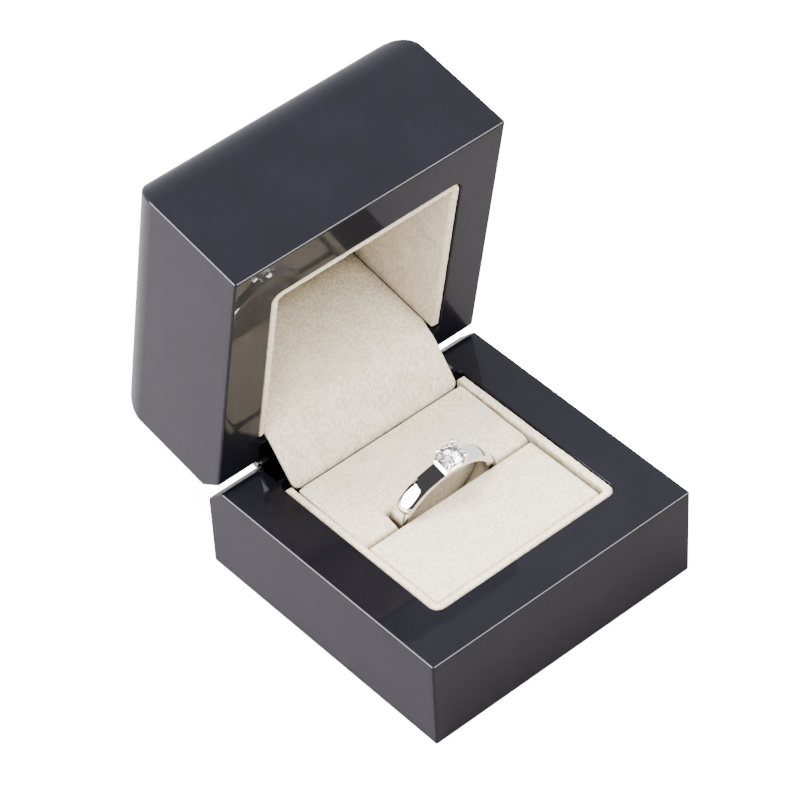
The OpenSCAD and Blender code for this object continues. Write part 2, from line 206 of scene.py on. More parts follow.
def soft_box(name, place, power):
    """A square area light that points at the box and isn't seen in the gloss."""
    light = bpy.data.lights.new(name, "AREA")
    light.size = lamp_side
    light.energy = power
    light.color = lamp_tint
    lamp = bpy.data.objects.new(name, light)
    lamp.location = place
    lamp.rotation_euler = (lamp_aim - Vector(place)).to_track_quat("-Z", "Y").to_euler()
    lamp.visible_glossy = False
    bpy.context.scene.collection.objects.link(lamp)


soft_box("soft_box_front", (-0.3, -0.42, 1.0), 31.0)
soft_box("soft_box_back", (-0.22, 0.3, 1.05), 45.0)

# ---- Lacquered base ----
# A block of wood with a routed well, sprayed and polished to a mirror. Its
# arrises are broken by hand, and the hinge lies in a seat cut in the rear rim.
case_half = 30 * mm
base_h = 19.8 * mm
side_rim = 8.8 * mm
hinge_rim = 8.8 * mm
base_front_rim = 9.0 * mm
floor_t = 3.6 * mm
well_r = 2.0 * mm
hinge_chamfer = 4.0 * mm
arris = 0.45 * mm
rim_arris = 0.25 * mm
felt_t = 0.8 * mm
felt_border = 2.5 * mm
well_x = case_half - side_rim
well_back = case_half - hinge_rim
straight_up = 0.99


def ramp(nodes, low, high, starts=0.0, ends=1.0):
    """Turns a value into a colour between two."""
    made = shader_node(nodes, "ValToRGB")
    stops = made.color_ramp.elements
    for stop, position, colour in zip(stops, (starts, ends), (low, high)):
        stop.position = position
        stop.color = (*colour, 1)
    return made


lacquer, nodes, links, shader = principled(
    "piano_lacquer", Roughness=0.4, Coat_Weight=0.3, Coat_Roughness=0.012, Coat_IOR=1.5,
    Specular_IOR_Level=0.05)
place = shader_node(nodes, "TexCoord")
depth = shader_node(nodes, "TexNoise", Scale=90, Detail=3)
tint = ramp(nodes, (0.002, 0.002, 0.0042), (0.0045, 0.0045, 0.008))
orange_peel = shader_node(nodes, "TexNoise", Scale=160, Detail=2)
surface = shader_node(nodes, "Bump", Strength=0.12, Distance=0.02 * mm)
links.new(place.outputs["Object"], depth.inputs["Vector"])
links.new(place.outputs["Object"], orange_peel.inputs["Vector"])
links.new(depth.outputs["Fac"], tint.inputs["Fac"])
links.new(tint.outputs["Color"], shader.inputs["Base Color"])
links.new(orange_peel.outputs["Fac"], surface.inputs["Height"])
links.new(surface.outputs["Normal"], shader.inputs["Normal"])
links.new(surface.outputs["Normal"], shader.inputs["Coat Normal"])


def block(bm, size, middle=(0, 0, 0)):
    """Adds a block of a size round its middle."""
    place = Matrix.Translation(middle) @ Matrix.Diagonal((*size, 1))
    return bmesh.ops.create_cube(bm, size=1, matrix=place)


def sharp_edges(bm, degrees):
    """The edges where two faces meet at more than an angle."""
    return [e for e in bm.edges if e.calc_face_angle(0) > math.radians(degrees)]


def bevel(bm, edges, offset, segments):
    """Rounds edges, or cuts them flat with one segment."""
    return bmesh.ops.bevel(
        bm, geom=edges, offset=offset, offset_type="OFFSET", segments=segments,
        profile=0.5, affect="EDGES", clamp_overlap=True, material=-1)


def extruded(bm, faces, shift, keep=False):
    """Extrudes faces and moves what is new, whose vertices it returns."""
    made = bmesh.ops.extrude_face_region(bm, geom=faces, use_keep_orig=keep)["geom"]
    fresh = [v for v in made if isinstance(v, bmesh.types.BMVert)]
    bmesh.ops.translate(bm, verts=fresh, vec=shift)
    return fresh


def facing_up(bm):
    """The faces of the rim, which look straight up."""
    bm.normal_update()
    return [f for f in bm.faces if f.normal.z > straight_up]


def lacquered_block(height, front, depth, lower_round):
    """Block with its opening upwards: hinge edge chamfered, well routed, arrises broken."""
    bm = bmesh.new()
    block(bm, (2 * case_half, 2 * case_half, height), (0, 0, height / 2))
    if lower_round:
        lower = [e for e in bm.edges if all(v.co.z < arris for v in e.verts)]
        bevel(bm, lower, lower_round, 18)
    back_top = [
        e for e in bm.edges
        if all(v.co.z > height - arris and v.co.y > case_half - arris for v in e.verts)]
    bevel(bm, back_top, hinge_chamfer, 1)
    bevel(bm, sharp_edges(bm, 25), arris, 4)
    cuts = (
        ((well_x, 0, 0), (1, 0, 0)), ((-well_x, 0, 0), (1, 0, 0)),
        ((0, front, 0), (0, 1, 0)), ((0, well_back, 0), (0, 1, 0)))
    for point, normal in cuts:
        rims = facing_up(bm)
        geom = rims + list({e for f in rims for e in f.edges} | {v for f in rims for v in f.verts})
        bmesh.ops.bisect_plane(bm, geom=geom, plane_co=point, plane_no=normal)
    middle = Vector((0, (front + well_back) / 2, height))
    opening = min(facing_up(bm), key=lambda f: (f.calc_center_median() - middle).length)
    extruded(bm, [opening], (0, 0, -depth))
    bmesh.ops.delete(bm, geom=[opening], context="FACES_ONLY")
    corners = [
        e for e in bm.edges
        if abs(e.verts[0].co.z - e.verts[1].co.z) > depth * 0.9
        and all(abs(v.co.x) < well_x + arris for v in e.verts)
        and abs(e.verts[0].co.x - e.verts[1].co.x) < rim_arris]
    bevel(bm, corners, well_r, 8)
    mouth = [
        e for e in sharp_edges(bm, 60)
        if all(
            abs(v.co.z - height) < rim_arris and abs(v.co.x) < well_x + rim_arris / 2
            and front - rim_arris / 2 < v.co.y < well_back + rim_arris / 2 for v in e.verts)]
    bevel(bm, mouth, rim_arris, 3)
    return bm


def cut_by(piece, tool):
    """Cuts a closed tool shape out of a piece."""
    tool_piece = linked("tool", tool)
    modifier = piece.modifiers.new("cut", "BOOLEAN")
    modifier.object = tool_piece
    modifier.solver = "EXACT"
    flatten(piece)
    bpy.data.objects.remove(tool_piece)


def flatten(piece):
    """Turns a piece's modifiers into plain mesh."""
    graph = bpy.context.evaluated_depsgraph_get()
    mesh = bpy.data.meshes.new_from_object(piece.evaluated_get(graph))
    piece.modifiers.clear()
    piece.data = mesh


smooth_limit = math.radians(35)


def finished(piece, material, body, slot, *nodes):
    """Shades a piece, gives it its material and body, and hides the CAD nodes it stands for."""
    piece.data.materials.clear()
    piece.data.materials.append(material)
    piece.data.shade_smooth()
    piece.data.set_sharp_from_angle(angle=smooth_limit)
    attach(piece, body)
    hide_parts(*nodes)


def weighted(piece):
    """Keeps the broad faces flat in the reflection, beside small rounded arrises."""
    modifier = piece.modifiers.new("flat faces", "WEIGHTED_NORMAL")
    modifier.weight = 90
    modifier.keep_sharp = True


pin = Vector(next(j["pos_m"] for j in frame["joints"] if j["name"] == "lid_hinge"))
hinge_len = 41.6 * mm
leaf_t = 0.5 * mm
leaf_w = 5.4 * mm
trough_r = 1.46 * mm
seat_clear = 0.1 * mm
trough_end = 0.9 * mm


def leaf_seat(z_low, z_high):
    """The shallow cut for a hinge leaf."""
    bm = bmesh.new()
    y_low = pin.y - leaf_w - seat_clear
    size = (hinge_len + 2 * seat_clear, pin.y - y_low, z_high - z_low)
    block(bm, size, (0, (pin.y + y_low) / 2, (z_low + z_high) / 2))
    return bm


def knuckle_trough():
    """The round cut that the knuckles turn in."""
    bm = bmesh.new()
    bmesh.ops.create_cone(
        bm, cap_ends=True, segments=40, radius1=trough_r, radius2=trough_r,
        depth=hinge_len + 2 * trough_end,
        matrix=Matrix.Translation(pin) @ Matrix.Rotation(math.pi / 2, 4, "Y"))
    return bm


bm = lacquered_block(base_h, base_front_rim - case_half, base_h - floor_t, 0)
base = linked("base_block", bm)
cut_by(base, leaf_seat(base_h - leaf_t, base_h + leaf_t))
cut_by(base, knuckle_trough())
bm = bmesh.new()
felt_side = 2 * (case_half - felt_border)
block(bm, (felt_side, felt_side, 2 * felt_t))
cut_by(base, bm)
finished(base, lacquer, "base", "lacquer", "base_shell")
weighted(base)

# ---- Felt under the base ----
# A sheet of black felt let into the underside, so that the box doesn't scratch
# what it stands on. Glued in flat.
felt, nodes, links, shader = principled("black_felt", Roughness=0.95, Sheen_Weight=0.4)
place = shader_node(nodes, "TexCoord")
fibres = shader_node(nodes, "TexNoise", Scale=2500, Detail=6)
tint = ramp(nodes, (0.008, 0.008, 0.01), (0.05, 0.05, 0.058))
nap = shader_node(nodes, "Bump", Strength=0.6, Distance=0.15 * mm)
links.new(place.outputs["Object"], fibres.inputs["Vector"])
links.new(fibres.outputs["Fac"], tint.inputs["Fac"])
links.new(tint.outputs["Color"], shader.inputs["Base Color"])
links.new(fibres.outputs["Fac"], nap.inputs["Height"])
links.new(nap.outputs["Normal"], shader.inputs["Normal"])


def coated(node, material):
    """Gives a CAD node that keeps its own shape its material."""
    slots = frame["nodes"][node].data.materials
    slots.clear()
    slots.append(material)


coated("base_felt", felt)

# ---- Lining of the well ----
# Boards wrapped in cream suede and glued round three sides of the well. The
# wrapped upper edge shows as a soft lip beside the lacquer.
lining_lip = 0.7 * mm
nap_swell = 0.12 * mm
nap_fineness = 2300
slice_margin = 0.3 * mm


def suede_group():
    """Nap of suede: short strokes of pile that lies one way, fine pile, and a soft mottle."""
    group = bpy.data.node_groups.new("suede_nap", "ShaderNodeTree")
    face = group.interface
    face.new_socket("Vector", in_out="INPUT", socket_type="NodeSocketVector")
    face.new_socket("Light", in_out="INPUT", socket_type="NodeSocketColor")
    face.new_socket("Dark", in_out="INPUT", socket_type="NodeSocketColor")
    face.new_socket("Color", in_out="OUTPUT", socket_type="NodeSocketColor")
    face.new_socket("Pile", in_out="OUTPUT", socket_type="NodeSocketFloat")
    nodes, links = group.nodes, group.links
    given = nodes.new("NodeGroupInput")
    out = nodes.new("NodeGroupOutput")
    lay = shader_node(nodes, "Mapping")
    lay.vector_type = "TEXTURE"
    lay.inputs["Rotation"].default_value = (0, math.radians(44), math.radians(51))
    lay.inputs["Scale"].default_value = (1, 1, 2.8)
    strokes = shader_node(nodes, "TexNoise", Scale=2900, Detail=3, Roughness=0.6)
    mottle = shader_node(nodes, "TexNoise", Scale=330, Detail=4)
    pile = shader_node(nodes, "TexNoise", Scale=5200, Detail=2)
    broad = shader_node(nodes, "Math")
    broad.operation = "MULTIPLY_ADD"
    broad.inputs[1].default_value = 0.28
    fine = shader_node(nodes, "Math")
    fine.operation = "MULTIPLY_ADD"
    fine.inputs[1].default_value = 0.6
    contrast = shader_node(nodes, "MapRange", From_Min=0.8, From_Max=1.08)
    mix = colour_mix(nodes)
    links.new(given.outputs["Vector"], lay.inputs["Vector"])
    links.new(lay.outputs["Vector"], strokes.inputs["Vector"])
    links.new(given.outputs["Vector"], mottle.inputs["Vector"])
    links.new(given.outputs["Vector"], pile.inputs["Vector"])
    links.new(mottle.outputs["Fac"], broad.inputs[0])
    links.new(strokes.outputs["Fac"], broad.inputs[2])
    links.new(pile.outputs["Fac"], fine.inputs[0])
    links.new(broad.outputs["Value"], fine.inputs[2])
    links.new(fine.outputs["Value"], contrast.inputs["Value"])
    links.new(contrast.outputs["Result"], mix.inputs["Factor"])
    links.new(given.outputs["Dark"], mix.inputs["A"])
    links.new(given.outputs["Light"], mix.inputs["B"])
    links.new(mix.outputs["Result"], out.inputs["Color"])
    links.new(fine.outputs["Value"], out.inputs["Pile"])
    return group


suede_nap = suede_group()


def suede_material(name, light, dark):
    """Suede of one tint, with painted shade: its colour is darkened in the creases."""
    material, nodes, links, shader = principled(
        name, Roughness=0.92, Sheen_Weight=0.12, Sheen_Roughness=0.4, Specular_IOR_Level=0.2)
    place = shader_node(nodes, "TexCoord")
    nap = shader_node(nodes, "Group")
    nap.node_tree = suede_nap
    nap.inputs["Light"].default_value = light
    nap.inputs["Dark"].default_value = dark
    pile = shader_node(nodes, "Bump", Strength=0.9, Distance=0.1 * mm)
    # Painted shade: ambient occlusion darkens the base colour where the suede is occluded, in
    # creases and grooves.
    crease = shader_node(nodes, "AmbientOcclusion", Distance=4.0 * mm)
    crease.samples = 12
    crease_shade_mask = shader_node(nodes, "MapRange", From_Min=0.15, From_Max=0.9)
    crease_shade_colour = colour_mix(nodes, A=(0.3, 0.27, 0.22, 1), B=(1, 1, 1, 1))
    shade = colour_mix(nodes, Factor=1)
    shade.blend_type = "MULTIPLY"
    links.new(place.outputs["Object"], nap.inputs["Vector"])
    links.new(crease.outputs["AO"], crease_shade_mask.inputs["Value"])
    links.new(crease_shade_mask.outputs["Result"], crease_shade_colour.inputs["Factor"])
    links.new(nap.outputs["Color"], shade.inputs["A"])
    links.new(crease_shade_colour.outputs["Result"], shade.inputs["B"])
    links.new(shade.outputs["Result"], shader.inputs["Base Color"])
    links.new(nap.outputs["Pile"], pile.inputs["Height"])
    links.new(pile.outputs["Normal"], shader.inputs["Normal"])
    return material


suede = suede_material("cream_suede", (0.8, 0.745, 0.62, 1), (0.5, 0.455, 0.37, 1))
touch = 0.01 * mm


def from_node(node, undo=None):
    """A merged copy of a CAD node's mesh, in the pose it was drawn in."""
    bm = bmesh.new()
    bm.from_mesh(frame["nodes"][node].data)
    if undo:
        bmesh.ops.transform(bm, matrix=undo, verts=bm.verts)
    bmesh.ops.remove_doubles(bm, verts=bm.verts, dist=0.002 * mm)
    bmesh.ops.dissolve_limit(
        bm, angle_limit=math.radians(1), verts=bm.verts, edges=bm.edges)
    return bm


def sliced(bm, axis, low, high, count):
    """Cuts a mesh into even slices along one axis, so that it can be shaped."""
    normal = Vector([1 if i == axis else 0 for i in range(3)])
    for i in range(count + 1):
        point = normal * (low + (high - low) * i / count)
        geom = list(bm.verts) + list(bm.edges) + list(bm.faces)
        bmesh.ops.bisect_plane(bm, geom=geom, plane_co=point, plane_no=normal)


def softened(bm, swell, fineness=160):
    """Gives cloth a slight unevenness, from long swells to a fuzzy edge."""
    bm.normal_update()
    shifts = [v.normal * noise.noise(v.co * fineness) * swell for v in bm.verts]
    for v, shift in zip(bm.verts, shifts):
        v.co += shift


def lipped(bm, z_lip):
    """Rounds the wrapped edge of a lining at one height, and roughens it as nap is."""
    edge = [
        e for e in sharp_edges(bm, 60) if all(abs(v.co.z - z_lip) < touch for v in e.verts)]
    bevel(bm, edge, lining_lip, 6)
    reach = well_x - slice_margin
    for axis in (0, 1):
        sliced(bm, axis, -reach, reach, 120)
    softened(bm, nap_swell, nap_fineness)
    return bm


bm = lipped(from_node("base_lining"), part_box("base_lining")[1].z)
base_lining = linked("well_lining", bm)
finished(base_lining, suede, "base", "suede", "base_lining")

# ---- Board and foam of the pad ----
# A greyboard on the well's floor carries two blocks of foam. Both are hidden
# under the suede and show only if the pad is taken out.
card, nodes, links, shader = principled("greyboard", Roughness=0.85)
place = shader_node(nodes, "TexCoord")
fleck = shader_node(nodes, "TexNoise", Scale=1800, Detail=5)
tint = ramp(nodes, (0.3, 0.26, 0.2), (0.5, 0.45, 0.36), starts=0.35, ends=0.65)
links.new(place.outputs["Object"], fleck.inputs["Vector"])
links.new(fleck.outputs["Fac"], tint.inputs["Fac"])
links.new(tint.outputs["Color"], shader.inputs["Base Color"])

foam, nodes, links, shader = principled("open_cell_foam", Roughness=0.9)
place = shader_node(nodes, "TexCoord")
cells = shader_node(nodes, "TexVoronoi", Scale=2200)
tint = ramp(nodes, (0.35, 0.32, 0.24), (0.8, 0.77, 0.66))
pores = shader_node(nodes, "Bump", Strength=0.8, Distance=0.3 * mm)
links.new(place.outputs["Object"], cells.inputs["Vector"])
links.new(cells.outputs["Distance"], tint.inputs["Fac"])
links.new(tint.outputs["Color"], shader.inputs["Base Color"])
links.new(cells.outputs["Distance"], pores.inputs["Height"])
links.new(pores.outputs["Normal"], shader.inputs["Normal"])
for node, material in (
        ("pad_board", card), ("lid_ceiling_board", card),
        ("front_pad_foam", foam), ("rear_pad_foam", foam)):
    coated(node, material)

# ---- Suede covers of the pad ----
# Each foam block is wrapped in suede. The front one has a crisp edge at the
# slot, the rear one rolls down softly to it, and the ring presses it back.
ring_lean = math.radians(14.5)
band_half = 1.6 * mm
slot_clear = 0.35 * mm
slit_gap = 0.2 * mm
pad_round = 0.7 * mm
pad_crown = 0.3 * mm
end_margin = 1.2 * mm
front_low, front_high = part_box("front_pad_cover")
rear_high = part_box("rear_pad_cover")[1]
ring_middle = Vector((0, 1.7335, 16.344)) * mm
ring_r = 11.2 * mm
slot_half = (band_half + slot_clear) / math.cos(ring_lean)


def slot_face(z):
    """Front face of the slot at a height. It leans as the ring does."""
    return ring_middle.y - (z - ring_middle.z) * math.tan(ring_lean) - slot_half


def pad_block(outline, half_width, rounds):
    """Extrudes an outline in Y and Z to a pad, rounds its long edges and its ends."""
    bm = bmesh.new()
    corners = [bm.verts.new((-half_width, y, z)) for y, z in outline]
    end = bm.faces.new(corners)
    extruded(bm, [end], (2 * half_width, 0, 0))
    bmesh.ops.recalc_face_normals(bm, faces=bm.faces)
    for (y, z), radius, segments in rounds:
        long_edge = [
            e for e in bm.edges
            if all(abs(v.co.y - y) + abs(v.co.z - z) < touch for v in e.verts)]
        bevel(bm, long_edge, radius, segments)
    ends = [
        e for e in sharp_edges(bm, 60)
        if all(abs(abs(v.co.x) - half_width) < touch for v in e.verts)]
    bevel(bm, ends, pad_round, 4)
    return bm


def step(value):
    """Smooth step from 0 to 1."""
    t = min(max(value, 0), 1)
    return t * t * (3 - 2 * t)


def crowned(bm, above, half_width, y_front, y_back):
    """Swells the top of a pad in the middle, as its foam does."""
    for v in bm.verts:
        along = min(max((v.co.y - y_front) / (y_back - y_front), 0), 1)
        if v.co.z > above:
            across = 1 - (v.co.x / half_width) ** 4
            v.co.z += pad_crown * across * math.sin(math.pi * along)


top = front_high.z
foot = front_low.z
front_round = 1.0 * mm
slot_round = 0.45 * mm
nearly_top = top - 0.1 * mm
outline = [
    (front_low.y, foot), (slot_face(foot), foot),
    (slot_face(top), top), (front_low.y, top)]
rounds = [(outline[3], front_round, 5), (outline[2], slot_round, 4)]
bm = pad_block(outline, front_high.x, rounds)
sliced(bm, 0, end_margin - front_high.x, front_high.x - end_margin, 24)
sliced(bm, 1, front_low.y + 1.6 * mm, slot_face(top) - 0.8 * mm, 12)
crowned(bm, nearly_top, front_high.x, front_low.y + front_round, slot_face(top) - 0.4 * mm)
softened(bm, 0.05 * mm)
front_pad = linked("front_pad", bm)
finished(front_pad, suede, "base", "suede", "front_pad_cover")

slot_roll = 2.2 * mm
roll_depth = 9.0 * mm
rear_foot = 17.25 * mm
knee_h = 3.2 * mm
knee_lean = 0.4
nose_h = 0.8 * mm
nose_round = 0.5 * mm
flap_lean = math.tan(math.radians(37.7))
corner_r = 1.5 * mm
ring_room = 0.02 * mm
give_at_slot = 0.25 * mm
give_behind = 3 * mm
give_most = 5.0 * mm
above_foot = foot + 0.2 * mm
press = 2 * slot_half - slit_gap
rear_top = rear_high.z
nose_y = rear_high.y - 0.2 * mm
outline = [
    (slot_face(foot) + slit_gap, foot), (rear_foot, foot),
    (rear_foot, rear_top - knee_h), (nose_y - nose_h * flap_lean, rear_top - nose_h),
    (nose_y, rear_top), (slot_face(top) + slit_gap, top)]
rounds = [(outline[5], slot_roll, 14), (outline[4], nose_round, 4)]
bm = pad_block(outline, rear_high.x, rounds)
sliced(bm, 0, end_margin - rear_high.x, rear_high.x - end_margin, 140)
roll_end = slot_face(top) + slit_gap + slot_roll
sliced(bm, 1, roll_end + 0.2 * mm, nose_y - 1.0 * mm, 12)
sliced(bm, 2, rear_top - 8 * mm, rear_top - slot_roll - 0.2 * mm, 6)
crowned(bm, nearly_top, rear_high.x, roll_end, nose_y - 0.6 * mm)
for v in bm.verts:
    behind = (v.co.y - (slot_face(v.co.z) + slit_gap)) / roll_depth
    give = min(give_at_slot + give_behind * max(behind, 0), give_most)
    beside = (abs(v.co.x) - ring_r - ring_room) / give
    if v.co.z > above_foot:
        v.co.y += press * (1 - step(beside)) * (1 - step(behind))
    over_x = abs(v.co.x) - (rear_high.x - corner_r)
    over_knee = max(v.co.z - rear_top + knee_h, 0)
    over_y = v.co.y - (rear_foot - corner_r + over_knee * knee_lean)
    if over_x > 0 and over_y > 0:
        round_off = max(over_x, over_y) / math.hypot(over_x, over_y)
        v.co.x -= math.copysign(over_x * (1 - round_off), v.co.x)
        v.co.y -= over_y * (1 - round_off)
softened(bm, 0.06 * mm)
rear_pad = linked("rear_pad", bm)
finished(rear_pad, suede, "base", "suede", "rear_pad_cover")

# ---- Hinge ----
# Two dark-plated steel leaves with rolled knuckles, their countersunk screws and
# the pin between them. The leaves lie in the rims, level with the lacquer.
steel, nodes, links, shader = principled("plated_steel", Metallic=1.0)
place = shader_node(nodes, "TexCoord")
along = shader_node(nodes, "Mapping", Scale=(0.05, 1, 1))
drawn = shader_node(nodes, "TexNoise", Scale=4000, Detail=3)
tint = ramp(nodes, (0.1, 0.1, 0.108), (0.2, 0.2, 0.21))
gloss = shader_node(nodes, "MapRange", To_Min=0.12, To_Max=0.22)
links.new(place.outputs["Object"], along.inputs["Vector"])
links.new(along.outputs["Vector"], drawn.inputs["Vector"])
links.new(drawn.outputs["Fac"], tint.inputs["Fac"])
links.new(tint.outputs["Color"], shader.inputs["Base Color"])
links.new(drawn.outputs["Fac"], gloss.inputs["Value"])
links.new(gloss.outputs["Result"], shader.inputs["Roughness"])
for node in (
        "base_hinge_leaf", "base_hinge_screws", "hinge_pin",
        "lid_hinge_leaf", "lid_hinge_screws"):
    coated(node, steel)

# ---- Spring ----
# A coil of steel wire wound on the pin between the two inner knuckles. It
# holds the lid open or shut.
spring_len = 12.4 * mm
wire_r = 0.2 * mm
coil_r = 0.75 * mm
pitch = 0.43 * mm
turns = round((spring_len - 2 * wire_r) / pitch)
steps = 20
wire = bpy.data.curves.new("spring", "CURVE")
wire.dimensions = "3D"
wire.bevel_depth = wire_r
wire.bevel_resolution = 2
wire.use_fill_caps = True
spline = wire.splines.new("POLY")
spline.points.add(turns * steps)
for i, point in enumerate(spline.points):
    angle = 2 * math.pi * i / steps
    x = (i / steps - turns / 2) * (spring_len - 2 * wire_r) / turns
    coil = Vector((x, coil_r * math.cos(angle), coil_r * math.sin(angle)))
    point.co = (*(pin + coil), 1)
spring = bpy.data.objects.new("spring", wire)
bpy.context.scene.collection.objects.link(spring)
graph = bpy.context.evaluated_depsgraph_get()
wound = bpy.data.meshes.new_from_object(spring.evaluated_get(graph))
bpy.data.objects.remove(spring)
spring = bpy.data.objects.new("coil_spring", wound)
bpy.context.scene.collection.objects.link(spring)
finished(spring, steel, "base", "steel", "hinge_spring")

# ---- Lacquered lid ----
# The lid is a block like the base, routed from below, with its upper edges
# rounded over. It hangs open on the hinge, 79 degrees back from shut.
lid_h = 29.4 * mm
lid_top_t = 4.6 * mm
lid_front_rim = 9.6 * mm
lid_round = 7.8 * mm
shut_gap = 0.3 * mm
lid_z = base_h + shut_gap
open_angle = math.radians(79)
opened = (
    Matrix.Translation(pin) @ Matrix.Rotation(-open_angle, 4, "X") @ Matrix.Translation(-pin))
shut = opened.inverted()

bm = lacquered_block(lid_h, lid_front_rim - case_half, lid_h - lid_top_t, lid_round)
over = Matrix.Translation((0, 0, lid_z + lid_h)) @ Matrix.Rotation(math.pi, 4, "Y")
bmesh.ops.transform(bm, matrix=over, verts=bm.verts)
lid = linked("lid_block", bm)
cut_by(lid, leaf_seat(lid_z - leaf_t, lid_z + leaf_t))
cut_by(lid, knuckle_trough())
lid.data.transform(opened)
finished(lid, lacquer, "lid", "lacquer", "lid_shell")
weighted(lid)

# ---- Lining of the lid ----
# The same wrapped boards line three sides of the lid, and a padded panel covers its ceiling.
# Their suede is a darker, warmer copy of the pad's: painted shade, for being out of the direct
# light.
bm = lipped(from_node("lid_lining", shut), lid_z + 0.1 * mm)
bmesh.ops.transform(bm, matrix=opened, verts=bm.verts)
# Painted shade: a darker copy of the cream suede, for the shaded inside of the lid.
shaded_copy_suede = suede_material("shaded_suede", (0.66, 0.595, 0.48, 1), (0.42, 0.37, 0.29, 1))
lid_lining = linked("lid_inside_lining", bm)
finished(lid_lining, shaded_copy_suede, "lid", "suede", "lid_lining")

ceiling_edge = 0.6 * mm
ceiling_reach = 17 * mm
ceiling_crown = 0.1 * mm
bm = from_node("lid_ceiling_pad", shut)
low = min(v.co.z for v in bm.verts)
edge = [e for e in bm.edges if all(v.co.z < low + touch for v in e.verts)]
bevel(bm, edge, ceiling_edge, 4)
for axis in (0, 1):
    sliced(bm, axis, -ceiling_reach, ceiling_reach, 16)
for v in bm.verts:
    if v.co.z < low + touch:
        v.co.z -= ceiling_crown * (1 - (v.co.x / well_x) ** 2) * (1 - (v.co.y / well_back) ** 2)
softened(bm, 0.04 * mm)
bmesh.ops.transform(bm, matrix=opened, verts=bm.verts)
ceiling_pad = linked("lid_ceiling", bm)
finished(ceiling_pad, shaded_copy_suede, "lid", "suede", "lid_ceiling_pad")

# ---- Hinge panel and flap ----
# One length of suede over card covers the lid's hinge side and hangs down from
# it as a flap that hides the hinge. The suede alone bends where they meet.
flap_x = 19.2 * mm
flap_len = 11.6 * mm
flap_t = 0.9 * mm
flap_slope = math.radians(37.7)
flap_corner = 1.5 * mm
flap_edge = 0.32 * mm
bend_r = 6.5 * mm
fold = Vector((0, 19.85, 20.7)) * mm
panel_len = 23.8 * mm
panel_more = 0.02
bend_reach = 5 * mm
side_reach = 18 * mm
bend = open_angle - flap_slope
half_bend = bend_r * bend / 2
tangent = bend_r * math.tan(bend / 2)


def along_flap(s, out):
    """Point of the flap at a length above the fold, and out from its middle layer."""
    angle = min(max((half_bend - s) / bend_r, 0), bend)
    middle = Vector((0, bend_r, tangent))
    normal = Vector((0, -math.cos(angle), -math.sin(angle)))
    run = Vector((0, -math.sin(angle), math.cos(angle)))
    past = s - half_bend if s > half_bend else min(s + half_bend, 0)
    return fold + middle + normal * (bend_r + out) + run * past


bm = bmesh.new()
bmesh.ops.create_grid(bm, x_segments=1, y_segments=1, size=0.5)
bmesh.ops.scale(bm, vec=(2 * flap_x, flap_len + panel_len, 1), verts=bm.verts)
bmesh.ops.translate(bm, vec=(0, (panel_len - flap_len) / 2, 0), verts=bm.verts)
lower = [v for v in bm.verts if v.co.y < 0]
bmesh.ops.bevel(
    bm, geom=lower, offset=flap_corner, offset_type="OFFSET", segments=6, profile=0.5,
    affect="VERTICES", material=-1)
extruded(bm, list(bm.faces), (0, 0, flap_t))
bmesh.ops.translate(bm, vec=(0, 0, -flap_t / 2), verts=bm.verts)
bmesh.ops.recalc_face_normals(bm, faces=bm.faces)
bevel(bm, sharp_edges(bm, 60), flap_edge, 4)
sliced(bm, 1, -bend_reach, bend_reach, 24)
sliced(bm, 1, -flap_len + 2 * mm, panel_len - 1 * mm, 16)
sliced(bm, 0, -side_reach, side_reach, 18)
softened(bm, 0.04 * mm)
for v in bm.verts:
    wide = 1 + panel_more * step(v.co.y / half_bend)
    v.co = along_flap(v.co.y, v.co.z) + Vector((v.co.x * wide, 0, 0))
bmesh.ops.recalc_face_normals(bm, faces=bm.faces)
bmesh.ops.transform(bm, matrix=opened, verts=bm.verts)
flap = linked("flap_and_panel", bm)
flap.data.materials.append(suede)
flap.data.shade_smooth()
flap.data.set_sharp_from_angle(angle=smooth_limit)
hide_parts("flap_card", "flap_cover", "lid_hinge_panel")
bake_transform(flap)

# ---- Ring: band ----
# A polished white gold band, half round outside and eased inside. A flat is
# filed on each shoulder, from the setting to where the half round begins.
band_t = 1.7 * mm
setting_half = 2.15 * mm
seat_cut = 0.5 * mm
seat_margin = 0.1 * mm
seat_z = ring_r - seat_cut
shoulder_len = 3.0 * mm
shoulder_cut = 0.6 * mm
shoulder_turn = math.asin(setting_half / ring_r) + math.asin(shoulder_len / 2 / ring_r)
seated = Matrix.Translation(ring_middle) @ Matrix.Rotation(ring_lean, 4, "X")

white_gold, nodes, links, shader = principled("white_gold", Metallic=1.0)
place = shader_node(nodes, "TexCoord")
polish = shader_node(nodes, "TexNoise", Scale=900, Detail=4)
gloss = shader_node(nodes, "MapRange", To_Min=0.03, To_Max=0.1)
tint = ramp(nodes, (0.86, 0.82, 0.78), (0.95, 0.92, 0.89))
# Painted shade: ambient occlusion darkens the gold's colour in its recesses, round the setting and
# prongs.
recess = shader_node(nodes, "AmbientOcclusion", Distance=0.7 * mm)
recess.samples = 8
recess_shade = colour_mix(nodes, A=(0.12, 0.09, 0.08, 1))
links.new(place.outputs["Object"], polish.inputs["Vector"])
links.new(polish.outputs["Fac"], gloss.inputs["Value"])
links.new(gloss.outputs["Result"], shader.inputs["Roughness"])
links.new(polish.outputs["Fac"], tint.inputs["Fac"])
links.new(recess.outputs["AO"], recess_shade.inputs["Factor"])
links.new(tint.outputs["Color"], recess_shade.inputs["B"])
links.new(recess_shade.outputs["Result"], shader.inputs["Base Color"])

